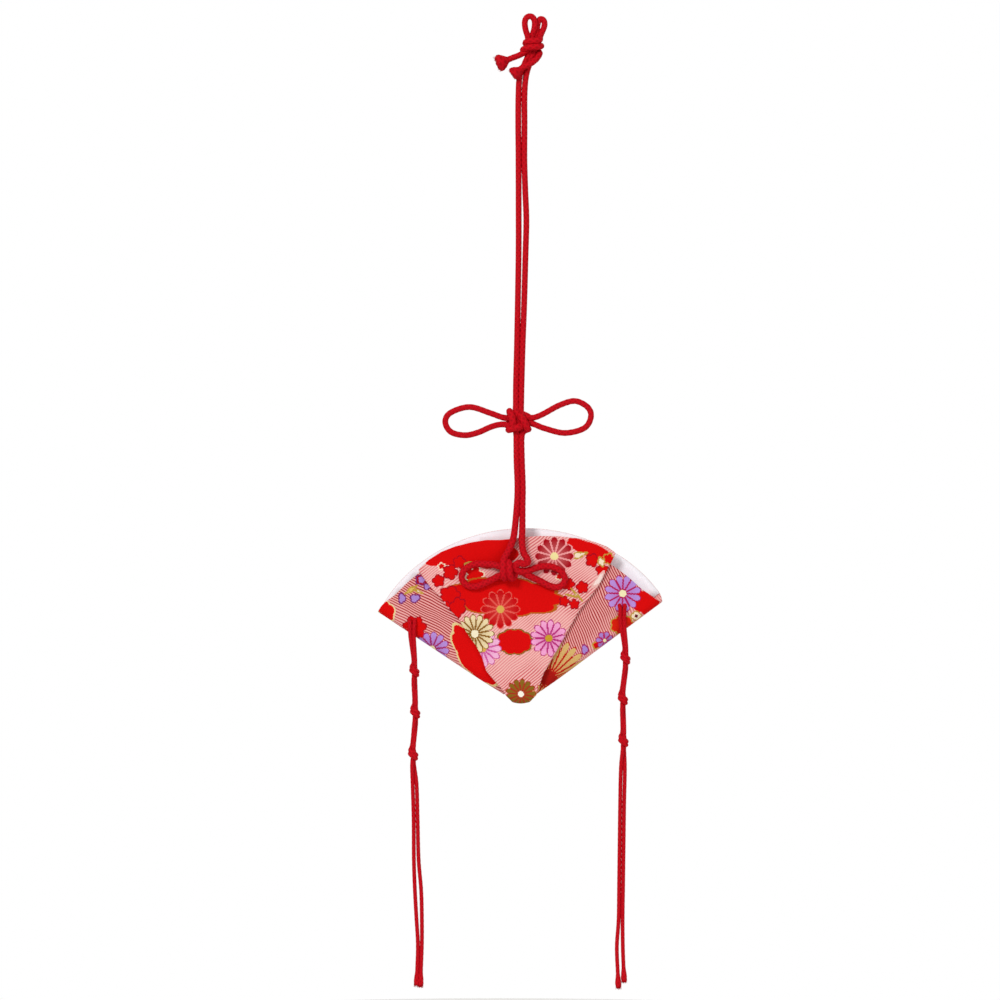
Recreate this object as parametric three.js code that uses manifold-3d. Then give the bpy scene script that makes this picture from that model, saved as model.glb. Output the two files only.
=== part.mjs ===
// Hanging scent sachet: a brocade cloth folded like an envelope into a fan-shaped pouch round an incense
// packet, hung on one doubled cord with a bow on the flap, a crown knot with two loops and a bow at the
// top, and with two knotted tassel cords.
// Millimetres, +Z up, +X right, front towards -Y, origin where a hook holds the two top loops.

import * as THREE from 'three';
import { mergeVertices } from 'three/addons/utils/BufferGeometryUtils.js';
import Module from 'manifold-3d';

const wasm = await Module();
wasm.setup();

// Folded cloth
const apex = { x: -5.2, z: -274.8 }; // where the two lower edges would meet below the blunt tip
const fanRadius = 71.4; // apex to the crown of the back panel's arc
const cornerRadius = 69.2; // apex to the two corners of that arc
const leftEdgeAngle = 56.4; // degrees from upright to the lower left edge
const rightEdgeAngle = 53.4; // degrees from upright to the lower right edge
const tipWidth = 11.4; // across the rounded fold at the bottom tip
const tipRise = 1.2; // apex to the lowest line of the tip
const liningBand = 3.2; // lining that shows above the flap
const edgeInset = 0.4; // lower edges to the back panel's outline below the wings
const wingDrop = 0.9; // corners of the back panel to the wings' arcs
const wingStart = 8.8; // apex to the first point of each wing's fold
const wingToe = 4; // width of each wing at its lower end
const wingFreeAngle = 9; // degrees from upright to each wing's free edge
const flapArcRadius = 90; // the flap's top edge is flatter than the fan
const flapArcShift = 2; // its crown stands to the right of the apex
const flapLeftEdge = [[-41.2, 54.6], [-28.8, 37.6], [-19.6, 26.4], [-14.8, 16], [-11.4, 8.4]];
const flapRightEdge = [[5.3, 8.8], [38, 61.4]];

// Thicknesses, and clearances between neighbours
const clothThickness = 0.8;
const liningThickness = 0.3;
const packetThickness = 3;
const layerGap = 0.4;
const glueGap = 0.1; // lining to the back panel it is stuck to
const cordRest = 0.5; // hanging strands to the flap behind them
const cordGap = 0.3; // cord to cord, and cord to knot
const holeClearance = 0.3; // all round a cord in its hole
const lap = 0.5; // length by which a joined shape reaches into its neighbour

// Incense packet, a fan-shaped pillow
const packetInner = 17;
const packetOuter = 50;
const packetHalfAngle = 38;
const packetCorner = 2.4;
const packetEdge = 1.1;

// Cords
const cordDiameter = 2.2;
const tasselCordDiameter = 1.6;
const cordSides = 8;
const anchorSpacing = 3.6; // between the two holes under the bow
const anchorCentre = { x: -6.4, z: -220 };
const bowCentre = { x: -7.4, z: -219.2 };
const crownCentre = { x: -6.2, z: -160.4 };
const topBowCentre = { x: -0.6, z: -9.8 };
const tasselHoleSpacing = 2.9;
const tasselKnotRadius = 2.1;
const tasselKnotHeight = 4.6;
const topFlare = { length: 4, width: 5 }; // frayed ends of the hanging cord
const tasselFlare = { length: 6, width: 2.2 };

// Depths of the layers, front faces, from the cord's plane at zero to the back
const flapY = cordDiameter / 2 + cordRest;
const wingY = flapY + clothThickness + layerGap;
const packetY = wingY + clothThickness + layerGap;
const liningY = packetY + packetThickness + layerGap - glueGap;
const backY = liningY + liningThickness + glueGap;
const backFaceY = backY + clothThickness;

const brocade = { color: 0xd2202a, roughness: 0.7 };
const lilac = { color: 0xf0dff0, roughness: 0.85 };
const paper = { color: 0xe8e0d0, roughness: 0.9 };
const crimson = { color: 0xc3081e, roughness: 0.75 };

const sachet = new THREE.Group();
const pouch = new THREE.Group();
pouch.position.set(apex.x, 0, apex.z);
sachet.add(pouch);

// Solids

function toSolid(geometry) {
  geometry.deleteAttribute('normal');
  geometry.deleteAttribute('uv');
  const merged = mergeVertices(geometry, 1e-4);
  const corners = merged.index.array;
  const kept = [];
  for (let i = 0; i < corners.length; i += 3) {
    const [a, b, c] = [corners[i], corners[i + 1], corners[i + 2]];
    if (a !== b && b !== c && c !== a) {
      kept.push(a, b, c);
    }
  }
  return new wasm.Manifold(new wasm.Mesh({
    numProp: 3,
    vertProperties: new Float32Array(merged.attributes.position.array),
    triVerts: new Uint32Array(kept),
  }));
}

function toGeometry(solid) {
  const mesh = solid.getMesh();
  const geometry = new THREE.BufferGeometry();
  geometry.setAttribute('position', new THREE.BufferAttribute(new Float32Array(mesh.vertProperties), 3));
  geometry.setIndex(new THREE.BufferAttribute(new Uint32Array(mesh.triVerts), 1));
  geometry.computeVertexNormals();
  return geometry;
}

function addPiece(parent, name, solid, look) {
  const material = new THREE.MeshStandardMaterial({ ...look, metalness: 0 });
  const mesh = new THREE.Mesh(toGeometry(solid), material);
  mesh.name = name;
  parent.add(mesh);
}

const join = (solids) => solids.reduce((whole, solid) => whole.add(solid));
const vector = (point) => new THREE.Vector3(...point);

// Cloth

const sides = {
  left: { sign: -1, angle: THREE.MathUtils.degToRad(leftEdgeAngle) },
  right: { sign: 1, angle: THREE.MathUtils.degToRad(rightEdgeAngle) },
};
const wingFoldOuter = (backFaceY - wingY) / 2;
const tipFoldOuter = (backFaceY - flapY) / 2;
const tipLine = tipRise + tipFoldOuter;

// Point of the fan's plane at a distance up a lower edge and a distance in from it
function edgePoint(side, along, inset) {
  const run = Math.sin(side.angle);
  const rise = Math.cos(side.angle);
  return new THREE.Vector2(side.sign * (along * run - inset * rise), along * rise + inset * run);
}

// Flat layer: an outline in the fan's plane, from its front face at a depth to its back face
function layer(outline, frontY, thickness) {
  const flat = new THREE.ExtrudeGeometry(outline, {
    depth: thickness,
    bevelEnabled: false,
    curveSegments: 20,
  });
  flat.rotateX(Math.PI / 2);
  flat.translate(0, frontY + thickness, 0);
  return toSolid(flat);
}

// Half-round fold that joins the back panel to a layer in front of it
function foldStrip(start, along, out, length, frontY) {
  const outer = (backFaceY - frontY) / 2;
  const inner = outer - clothThickness;
  const section = new THREE.Shape();
  section.moveTo(-lap, -outer);
  section.absarc(0, 0, outer, -Math.PI / 2, Math.PI / 2, false);
  section.lineTo(-lap, outer);
  section.lineTo(-lap, inner);
  section.absarc(0, 0, inner, Math.PI / 2, -Math.PI / 2, true);
  section.lineTo(-lap, -inner);
  const strip = new THREE.ExtrudeGeometry(section, { depth: length, bevelEnabled: false, curveSegments: 5 });
  const across = along.clone().cross(out);
  strip.applyMatrix4(new THREE.Matrix4().makeBasis(out, across, along));
  strip.translate(start.x, frontY + outer, start.y);
  return toSolid(strip);
}

// Fan outline that stops where the two wing folds begin, with a blunt tip; its arc runs through the crown and
// both corners, so its centre stands above the apex
function backOutline(inset) {
  const crown = fanRadius - inset;
  const corner = cornerRadius - inset;
  const meanRise = corner * Math.cos((sides.left.angle + sides.right.angle) / 2);
  const centreZ = (crown ** 2 - corner ** 2) / (2 * (crown - meanRise));
  const foldInset = wingFoldOuter + inset;
  const reach = Math.sqrt(corner ** 2 - foldInset ** 2);
  const fromCentre = (side) => edgePoint(side, reach, foldInset).sub(new THREE.Vector2(0, centreZ)).angle();
  const outline = new THREE.Shape();
  outline.moveTo(-tipWidth / 2 + inset, tipLine + inset);
  outline.lineTo(tipWidth / 2 - inset, tipLine + inset);
  outline.lineTo(...edgePoint(sides.right, wingStart, edgeInset + inset));
  outline.lineTo(...edgePoint(sides.right, wingStart, foldInset));
  outline.absarc(0, centreZ, crown - centreZ, fromCentre(sides.right), fromCentre(sides.left), false);
  outline.lineTo(...edgePoint(sides.left, wingStart, foldInset));
  outline.lineTo(...edgePoint(sides.left, wingStart, edgeInset + inset));
  return outline;
}

function wingOutline(side) {
  const radius = cornerRadius - wingDrop;
  const reach = Math.sqrt(radius ** 2 - wingFoldOuter ** 2);
  const corner = edgePoint(side, reach, wingFoldOuter).angle();
  const free = Math.PI / 2 - side.sign * THREE.MathUtils.degToRad(wingFreeAngle);
  const outline = new THREE.Shape();
  outline.moveTo(...edgePoint(side, wingStart, wingFoldOuter + wingToe));
  outline.lineTo(...edgePoint(side, wingStart, wingFoldOuter));
  outline.absarc(0, 0, radius, corner, free, side.sign < 0);
  return outline;
}

function flapOutline() {
  const crownZ = fanRadius - liningBand;
  const centreZ = crownZ - flapArcRadius;
  const turn = (x) => Math.acos((x - flapArcShift) / flapArcRadius);
  const rightCorner = flapRightEdge[flapRightEdge.length - 1];
  const leftEdge = flapLeftEdge.map((point) => new THREE.Vector2(...point));
  const outline = new THREE.Shape();
  outline.moveTo(tipWidth / 2, tipLine);
  outline.lineTo(...flapRightEdge[0]);
  outline.absarc(flapArcShift, centreZ, flapArcRadius, turn(rightCorner[0]), turn(leftEdge[0].x), false);
  outline.splineThru([...leftEdge, new THREE.Vector2(-tipWidth / 2, tipLine)]);
  return outline;
}

function drill(x, z, diameter) {
  const bore = new THREE.CylinderGeometry(diameter / 2, diameter / 2, 2 * backFaceY, 16);
  bore.translate(x - apex.x, backFaceY / 2, z - apex.z);
  return toSolid(bore);
}

function wing(side) {
  const run = new THREE.Vector3(side.sign * Math.sin(side.angle), 0, Math.cos(side.angle));
  const out = new THREE.Vector3(side.sign * Math.cos(side.angle), 0, -Math.sin(side.angle));
  const start = edgePoint(side, wingStart, wingFoldOuter);
  const reach = cornerRadius - wingDrop - wingStart;
  const strip = foldStrip(start, run, out, reach, wingY);
  return layer(wingOutline(side), wingY, clothThickness).add(strip);
}

const anchorHoles = [-1, 1].map((sign) => drill(
  anchorCentre.x + sign * anchorSpacing / 2,
  anchorCentre.z,
  cordDiameter + 2 * holeClearance,
));

// Fold of the flap round the blunt tip, cut to a half-ellipse seen from the front
function tipFold() {
  const start = new THREE.Vector2(-tipWidth / 2, tipLine);
  const across = new THREE.Vector3(1, 0, 0);
  const down = new THREE.Vector3(0, 0, -1);
  const strip = foldStrip(start, across, down, tipWidth, flapY);
  const nose = new THREE.Shape();
  nose.moveTo(tipWidth / 2, tipLine + 2 * lap);
  nose.lineTo(-tipWidth / 2, tipLine + 2 * lap);
  nose.absellipse(0, tipLine, tipWidth / 2, tipFoldOuter, Math.PI, 2 * Math.PI, false);
  return strip.intersect(layer(nose, 0, 2 * backFaceY));
}

function brocadeWrap(tasselHoles) {
  const throughFlapAndBack = join(anchorHoles);
  const back = layer(backOutline(0), backY, clothThickness).subtract(throughFlapAndBack);
  const flap = layer(flapOutline(), flapY, clothThickness).subtract(throughFlapAndBack);
  const throughWings = join(tasselHoles);
  const behindWings = layer(backOutline(0), backY, clothThickness);
  const wings = wing(sides.left).add(wing(sides.right)).subtract(throughWings.subtract(behindWings));
  return join([back, flap, tipFold(), wings]);
}

function liningPanel() {
  const flat = layer(backOutline(layerGap), liningY, liningThickness);
  return flat.subtract(join(anchorHoles));
}

// Fan-shaped pillow with rounded corners and edges
function incensePacket() {
  const half = THREE.MathUtils.degToRad(packetHalfAngle);
  const up = Math.PI / 2;
  const inner = packetInner + packetEdge;
  const outer = packetOuter - packetEdge;
  const turn = packetCorner / outer;
  const outline = new THREE.Shape();
  outline.absarc(0, 0, inner, up + half, up - half, true);
  outline.absarc(0, 0, outer - packetCorner, up - half, up - half, false);
  outline.absarc(0, 0, outer, up - half + turn, up + half - turn, false);
  outline.absarc(0, 0, outer - packetCorner, up + half, up + half, false);
  const pillow = new THREE.ExtrudeGeometry(outline, {
    depth: packetThickness - 2 * packetEdge,
    bevelThickness: packetEdge,
    bevelSize: packetEdge,
    bevelSegments: 3,
    curveSegments: 10,
  });
  pillow.rotateX(Math.PI / 2);
  pillow.translate(0, packetY + packetThickness - packetEdge, 0);
  return toSolid(pillow);
}

// Cords and knots

function tube(route, diameter, steps) {
  const section = new THREE.Shape();
  section.absarc(0, 0, diameter / 2, 0, 2 * Math.PI);
  const extrudePath = new THREE.CatmullRomCurve3(route.map(vector));
  return toSolid(new THREE.ExtrudeGeometry(section, { steps, curveSegments: cordSides / 2, extrudePath }));
}

// Piece of revolution between two points, from a profile along the line
function alongLine(geometry, start, end) {
  const line = vector(end).sub(vector(start));
  const middle = vector(start).addScaledVector(line, 0.5);
  const turn = new THREE.Quaternion().setFromUnitVectors(new THREE.Vector3(0, 1, 0), line.normalize());
  geometry.applyQuaternion(turn);
  geometry.translate(middle.x, middle.y, middle.z);
  return toSolid(geometry);
}

function bight(start, end, radius) {
  const length = vector(start).distanceTo(vector(end));
  return alongLine(new THREE.CapsuleGeometry(radius, length, 3, 10), start, end);
}

// Frayed end that opens out from the cord
function flare(route, diameter, { length, width }) {
  const end = vector(route[route.length - 1]);
  const before = vector(route[route.length - 2]);
  const line = end.clone().sub(before).normalize();
  const start = end.clone().addScaledVector(line, -lap);
  const tip = end.clone().addScaledVector(line, length);
  const cone = new THREE.CylinderGeometry(width / 2, diameter / 2, length + lap, 10);
  return alongLine(cone, start.toArray(), tip.toArray());
}

// A knot is bights joined into one body; grown, it clears the cords that run into it
function knot(centre, depth, bights) {
  return (grow) => join(bights.map(([x0, z0, x1, z1, radius]) => bight(
    [centre.x + x0, depth, centre.z + z0],
    [centre.x + x1, depth, centre.z + z1],
    radius + grow,
  )));
}

function barrelKnot(point) {
  return (grow) => {
    const half = tasselKnotHeight / 2 + grow;
    const radius = tasselKnotRadius + grow;
    const profile = [[0, -1], [0.55, -1], [0.95, -0.45], [1, 0], [0.95, 0.45], [0.55, 1], [0, 1]];
    const turned = profile.map(([out, up]) => new THREE.Vector2(out * radius, up * half));
    const barrel = new THREE.LatheGeometry(turned, 10);
    barrel.rotateX(Math.PI / 2);
    barrel.translate(...point);
    return toSolid(barrel);
  };
}

function addCord(name, route, diameter, steps, knots, end) {
  const whole = end ? tube(route, diameter, steps).add(end) : tube(route, diameter, steps);
  const cleared = knots.reduce((rest, shape) => rest.subtract(shape(cordGap)), whole);
  addPiece(sachet, name, cleared, crimson);
}

const addKnot = (name, shape) => addPiece(sachet, name, shape(0), crimson);

// Hanging cord, from the top loops down to the bow on the flap
const strandApart = (cordDiameter + cordGap) / 2;
const over = -0.55 * cordDiameter;
const under = 0.55 * cordDiameter;
const ahead = -0.9 * cordDiameter;
const behind = 1.3 * cordDiameter;
const bowBight = 2.1;
const bowDepth = flapY - cordGap - bowBight;
const loopDepth = flapY - cordGap - cordDiameter / 2;
const topBow = knot(topBowCentre, 0, [
  [-3.2, 0, 2.6, 0.2, 2.6],
  [3.4, -1.4, 2, -0.6, 1.7],
]);
const crownKnot = knot(crownCentre, 0, [
  [-3, 3, -2.2, -1.6, 2],
  [-0.6, 2.8, 3.2, 2, 2],
  [1.4, 0.8, 3.2, -2.8, 2],
  [-3.2, -2.8, 0.6, -2.4, 2],
]);
const frontBow = knot(bowCentre, bowDepth, [
  [-3.9, 0.6, -3.6, -2.6, bowBight],
  [-3, 1.2, 3.4, 0.4, bowBight],
  [-2.4, -1, 1.6, -1.2, bowBight],
]);
const topLoops = {
  left: [
    [-3.2, 0, -9.6], [-3.5, over, -6.4], [-3.9, over, -3.8], [-4, over, -1.2], [-3.2, over, 0.9],
    [-1.8, over, 1.6], [-0.3, over, 0.8], [0.1, over, -1.2], [-0.2, over, -3.8], [-0.4, over, -6.4],
    [-0.4, 0, -9.6],
  ],
  right: [
    [0.6, 0, -9.6], [1, under, -6.4], [1.5, under, -3.8], [1.8, under, -1], [2.5, under, 0.6],
    [3.8, under, 0.6], [4.5, under, -1], [4.2, under, -3.8], [3.8, under, -6.4], [3.4, 0, -9.6],
  ],
};
const topTails = {
  left: [[-2.4, ahead, -10.4], [-5, ahead, -12.8], [-7.4, 0.8 * ahead, -14.6], [-10.4, 0.6 * ahead, -16]],
  right: [[-0.8, behind, -10.2], [-2.6, behind, -15], [-4.6, behind, -18.2], [-6.4, 0.9 * behind, -20.4]],
};

// Two strands side by side: the pair's middle line, and how far each strand stands out past touching
const strandPair = (apart, route) => Object.fromEntries([['left', -1], ['right', 1]].map(([side, sign]) => [
  side,
  route.map(([x, y, z, spread]) => [x + sign * (apart + spread), y, z]),
]));
const upperStrands = strandPair(strandApart, [
  [-0.2, 0, -10, 0.2], [-1.3, 0, -16, 0.4], [-3.7, 0, -21.6, 0.3], [-4.9, 0, -28, 0.1], [-5.1, 0, -36, 0.05],
  [-4.6, 0, -80, 0.05], [-5, 0, -112, 0.05], [-6, 0, -142, 0.05], [-6.2, 0, -158, 0.05],
]);
const sideLoops = {
  left: [
    [-7.4, 0, -159], [-11.2, 0, -159.2], [-17.6, 0, -157.2], [-25.6, 0, -154.8], [-33.2, 0, -157],
    [-35.6, 0, -160.6], [-33.4, 0, -164.8], [-27.2, 0, -166], [-17.6, 0, -163], [-11.2, 0, -161.8],
    [-7.4, 0, -161.4],
  ],
  right: [
    [-4.6, 0, -159.4], [-0.8, 0, -159.2], [4.4, 0, -157.2], [10.4, 0, -154], [16.4, 0, -152.4],
    [21.6, 0, -154.8], [23, 0, -158.6], [20.4, 0, -163.2], [12.4, 0, -165.2], [4.4, 0, -163.4],
    [-0.8, 0, -161.8], [-4.6, 0, -161.4],
  ],
};
const lowerStrands = strandPair(strandApart, [
  [-5.8, 0, -162, 0.05], [-5.7, 0, -176, 0.05], [-5.4, 0, -187, 0.1], [-5.8, 0, -194, 0.2],
  [-6.75, 0, -205, 0.6], [-7.25, -0.6, -212, 1.2], [-8, bowDepth, -218, 1.65],
]);
const bowLoops = {
  left: [
    [-10.4, bowDepth, -219], [-14, -0.6, -218.6], [-18, -0.2, -217.8], [-23.2, loopDepth, -217.8],
    [-27.2, loopDepth, -219.6], [-29, loopDepth, -222.8], [-27.2, loopDepth, -226],
    [-22.8, loopDepth, -226.6], [-18, -0.2, -224.4], [-14, -0.6, -222.2], [-10.4, bowDepth, -221],
  ],
  right: [
    [-5, bowDepth, -219.4], [-1.6, -0.6, -219.8], [2.4, -0.2, -218.8], [6.8, loopDepth, -218.8],
    [10.8, loopDepth, -220.8], [12.4, loopDepth, -223.6], [10.8, loopDepth, -226.8], [6.8, loopDepth, -226.8],
    [2.4, -0.2, -224.4], [-1.6, -0.6, -222.6], [-6, bowDepth, -220.6],
  ],
};
const anchorY = backFaceY + cordGap + cordDiameter / 2;
const anchorHalf = [[1, bowDepth], [1, 2], [1, backFaceY - 1.2], [0.9, anchorY - 0.8], [0.6, anchorY - 0.1]];
const anchorRoute = (sign) => anchorHalf.map(([share, y]) => [
  anchorCentre.x + sign * share * anchorSpacing / 2,
  y,
  anchorCentre.z,
]);
const anchorMiddle = [anchorCentre.x, anchorY, anchorCentre.z];
const anchor = [...anchorRoute(-1), anchorMiddle, ...anchorRoute(1).reverse()];

// Tassel cords, each doubled through two holes of its wing
const tasselDepth = wingY - cordGap - tasselCordDiameter / 2;
const tasselApart = (tasselCordDiameter + cordGap) / 2;
const tassels = {
  left: {
    hole: [-48.8, -239.6],
    knots: [[-47.9, -260.6], [-47.6, -277.2], [-48.4, -294]],
    tails: strandPair(tasselApart, [
      [-48.4, tasselDepth, -294, 0], [-47.7, tasselDepth, -306, 0], [-47.3, tasselDepth, -320, 0],
      [-47.1, tasselDepth, -336, 0.05], [-46.6, tasselDepth, -348, 0.4], [-45.9, tasselDepth, -359, 0.5],
      [-45.5, tasselDepth, -370, 0.3], [-45.5, tasselDepth, -381, 0.3],
    ]),
  },
  right: {
    hole: [35.4, -234],
    knots: [[36.6, -255.5], [35.6, -271.8], [35.8, -288.6]],
    tails: strandPair(tasselApart, [
      [35.8, tasselDepth, -288.6, 0], [35.6, tasselDepth, -300, 0], [35.3, tasselDepth, -315, 0],
      [35.1, tasselDepth, -330, 0], [34.9, tasselDepth, -346, 0.1], [34.7, tasselDepth, -360, 0.2],
      [34.6, tasselDepth, -371, 0.5], [34.9, tasselDepth, -381, 0.4],
    ]),
  },
};
const tasselHoles = Object.values(tassels).flatMap(({ hole }) => [-1, 1].map((sign) => drill(
  hole[0] + sign * tasselHoleSpacing / 2,
  hole[1],
  tasselCordDiameter + 2 * holeClearance,
)));

addPiece(pouch, 'brocade_wrap', brocadeWrap(tasselHoles), brocade);
addPiece(pouch, 'lilac_lining', liningPanel(), lilac);
addPiece(pouch, 'incense_packet', incensePacket(), paper);

addKnot('top_bow_knot', topBow);
addKnot('crown_knot', crownKnot);
addKnot('front_bow_knot', frontBow);
for (const side of ['left', 'right']) {
  const tail = flare(topTails[side], cordDiameter, topFlare);
  addCord(`hanging_loop_${side}`, topLoops[side], cordDiameter, 18, [topBow]);
  addCord(`top_tail_${side}`, topTails[side], cordDiameter, 6, [topBow], tail);
  addCord(`upper_strand_${side}`, upperStrands[side], cordDiameter, 20, [topBow, crownKnot]);
  addCord(`side_loop_${side}`, sideLoops[side], cordDiameter, 22, [crownKnot]);
  addCord(`lower_strand_${side}`, lowerStrands[side], cordDiameter, 12, [crownKnot, frontBow]);
  addCord(`bow_loop_${side}`, bowLoops[side], cordDiameter, 20, [frontBow]);
}
addCord('bow_anchor', anchor, cordDiameter, 34, [frontBow]);

// From the first knot up in front of the wing, through a hole and half way across behind it: offsets across,
// in depth and up from the middle of the two holes
const tasselBend = wingY - tasselDepth;
const tasselHalf = tasselHoleSpacing / 2;
const tasselHalfLoop = [
  [0.9 * tasselHalf, tasselDepth, -12],
  [tasselHalf, tasselDepth, -4],
  [tasselHalf, tasselDepth, -tasselBend],
  [tasselHalf, tasselDepth + 0.3 * tasselBend, -0.3 * tasselBend],
  [tasselHalf, wingY, 0],
  [tasselHalf, wingY + clothThickness, 0],
  [0.7 * tasselHalf, wingY + clothThickness + 0.7 * tasselHalf, 0],
];

function addTassel(side) {
  const { hole, knots, tails } = tassels[side];
  const shapes = knots.map(([x, z]) => barrelKnot([x, tasselDepth, z]));
  shapes.forEach((shape, i) => addKnot(`${side}_tassel_knot_${i + 1}`, shape));
  const halfLoop = (sign) => [
    [knots[0][0] + sign * tasselApart, tasselDepth, knots[0][1]],
    ...tasselHalfLoop.map(([x, y, z]) => [hole[0] + sign * x, y, hole[1] + z]),
  ];
  const inside = [hole[0], wingY + clothThickness + tasselHalf, hole[1]];
  const loop = [...halfLoop(-1), inside, ...halfLoop(1).reverse()];
  addCord(`${side}_tassel_loop`, loop, tasselCordDiameter, 56, [shapes[0]]);
  for (const [strand, end, sign] of [['a', 'left', -1], ['b', 'right', 1]]) {
    const beside = knots.map(([x, z]) => [x + sign * tasselApart, tasselDepth, z]);
    const tuft = flare(tails[end], tasselCordDiameter, tasselFlare);
    addCord(`${side}_tassel_upper_${strand}`, beside.slice(0, 2), tasselCordDiameter, 2, shapes.slice(0, 2));
    addCord(`${side}_tassel_lower_${strand}`, beside.slice(1, 3), tasselCordDiameter, 2, shapes.slice(1, 3));
    addCord(`${side}_tassel_tail_${strand}`, tails[end], tasselCordDiameter, 12, [shapes[2]], tuft);
  }
}

addTassel('left');
addTassel('right');

export default sachet;
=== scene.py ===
from math import atan2, cos, pi, radians, sin, sqrt

import bpy
import numpy as np
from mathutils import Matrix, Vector
from mathutils.geometry import delaunay_2d_cdt


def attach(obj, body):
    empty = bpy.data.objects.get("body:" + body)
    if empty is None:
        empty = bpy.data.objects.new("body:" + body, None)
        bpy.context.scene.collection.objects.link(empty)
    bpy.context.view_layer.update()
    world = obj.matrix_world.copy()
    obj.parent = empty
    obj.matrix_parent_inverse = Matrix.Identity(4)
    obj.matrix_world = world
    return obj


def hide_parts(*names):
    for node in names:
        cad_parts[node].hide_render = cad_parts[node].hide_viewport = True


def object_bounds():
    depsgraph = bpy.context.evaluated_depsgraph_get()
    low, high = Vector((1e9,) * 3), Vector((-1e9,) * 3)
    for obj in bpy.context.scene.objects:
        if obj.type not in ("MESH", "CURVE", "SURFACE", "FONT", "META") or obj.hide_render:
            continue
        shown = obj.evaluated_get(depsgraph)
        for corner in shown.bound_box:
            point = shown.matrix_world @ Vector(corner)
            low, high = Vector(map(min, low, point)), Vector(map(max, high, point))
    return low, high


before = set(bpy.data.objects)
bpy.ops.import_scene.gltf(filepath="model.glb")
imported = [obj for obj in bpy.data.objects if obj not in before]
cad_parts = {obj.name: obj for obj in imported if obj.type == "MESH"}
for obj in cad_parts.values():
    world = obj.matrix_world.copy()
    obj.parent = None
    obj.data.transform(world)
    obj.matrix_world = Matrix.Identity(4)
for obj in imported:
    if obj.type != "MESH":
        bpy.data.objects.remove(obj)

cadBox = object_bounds()
scene = bpy.context.scene
mm = 0.001  # routes and outlines are in millimetres, meshes in metres
bpy.ops.object.select_all(action="DESELECT")


def hexColour(code):  # sRGB hex to the linear colour that nodes want
    parts = [int(code[i:i + 2], 16) / 255 for i in (1, 3, 5)]
    return (*[p / 12.92 if p < 0.04045 else ((p + 0.055) / 1.055) ** 2.4 for p in parts], 1)


def addNode(tree, kind, settings=None, inputs=None):  # settings may be just the name of an operation
    node = tree.nodes.new(kind if kind.startswith("Node") else "ShaderNode" + kind)
    if isinstance(settings, str):
        settings = {"operation": settings}
    for key, value in (settings or {}).items():
        setattr(node, key, value)
    for socket, value in (inputs or {}).items():
        if isinstance(value, bpy.types.Node):  # a node stands for its result
            value = next(output for output in value.outputs if output.enabled)
        if isinstance(value, bpy.types.NodeSocket):
            tree.links.new(value, node.inputs[socket])
        else:
            node.inputs[socket].default_value = value
    return node


def meshPiece(name, points, faces, material, uvs=None):  # points in mm, one uv for each point
    mesh = bpy.data.meshes.new(name)
    mesh.from_pydata([(x * mm, y * mm, z * mm) for x, y, z in points], [], faces)
    if uvs is not None:
        layer = mesh.uv_layers.new(name="cloth")
        corners = np.empty(len(mesh.loops), dtype=np.int32)
        mesh.loops.foreach_get("vertex_index", corners)
        layer.uv.foreach_set("vector", np.asarray(uvs, dtype=np.float32)[corners].ravel())
    mesh.materials.append(material)
    mesh.shade_smooth()
    piece = bpy.data.objects.new(name, mesh)
    scene.collection.objects.link(piece)
    return piece


# Stage: camera level in front, soft light, white behind, a pale disc of floor below the view
stage = {
    "pixel": 0.4,               # mm of the object to one pixel of the image
    "hookPixel": (534, 20),     # where the origin shows in the image
    "lens": 135,
    "floorDrop": 60,            # mm from the lowest end of the object to the floor
    "floorRadius": 0.42,
    "ambient": 0.44,
}
imageSize = 1000
viewWidth = imageSize * stage["pixel"] * mm
viewX = (imageSize / 2 - stage["hookPixel"][0]) * stage["pixel"] * mm
viewZ = (stage["hookPixel"][1] - imageSize / 2) * stage["pixel"] * mm
cameraData = bpy.data.cameras.new("camera")
cameraData.lens = stage["lens"]
cameraData.sensor_width = 36
camera = bpy.data.objects.new("camera", cameraData)
camera.location = (viewX, -viewWidth * stage["lens"] / cameraData.sensor_width, viewZ)
camera.rotation_euler = (pi / 2, 0, 0)
scene.collection.objects.link(camera)
scene.camera = camera
scene.view_settings.view_transform = "Standard"

studioLights = [  # name, place, size, power
    ("keyLight", (-0.7, -1.15, 0.55), 0.4, 12.5),
    ("fillLight", (0.95, -1.0, -0.1), 1.0, 4.0),
    ("backLight", (0.3, 1.2, 0.4), 1.0, 6.0),
]
target = Vector((viewX, 0, viewZ - 0.04))
for name, place, size, power in studioLights:
    lamp = bpy.data.lights.new(name, "AREA")
    lamp.size = size
    lamp.energy = power
    light = bpy.data.objects.new(name, lamp)
    light.location = place
    light.rotation_euler = (target - Vector(place)).to_track_quat("-Z", "Y").to_euler()
    scene.collection.objects.link(light)

world = bpy.data.worlds.new("studioWorld")
scene.world = world
world.use_nodes = True
sky = world.node_tree
sky.nodes.clear()
path = addNode(sky, "LightPath")
seen = addNode(sky, "Math", "MAXIMUM", {0: path.outputs["Is Camera Ray"], 1: path.outputs["Is Glossy Ray"]})
seen = addNode(sky, "Math", "MAXIMUM", {0: seen, 1: path.outputs["Is Transmission Ray"]})
strength = addNode(sky, "MapRange", {}, {"Value": seen, "To Min": stage["ambient"], "To Max": 1.0})
backdrop = addNode(sky, "Background", {}, {"Color": (1, 1, 1, 1), "Strength": strength})
addNode(sky, "OutputWorld", {}, {"Surface": backdrop})

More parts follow.
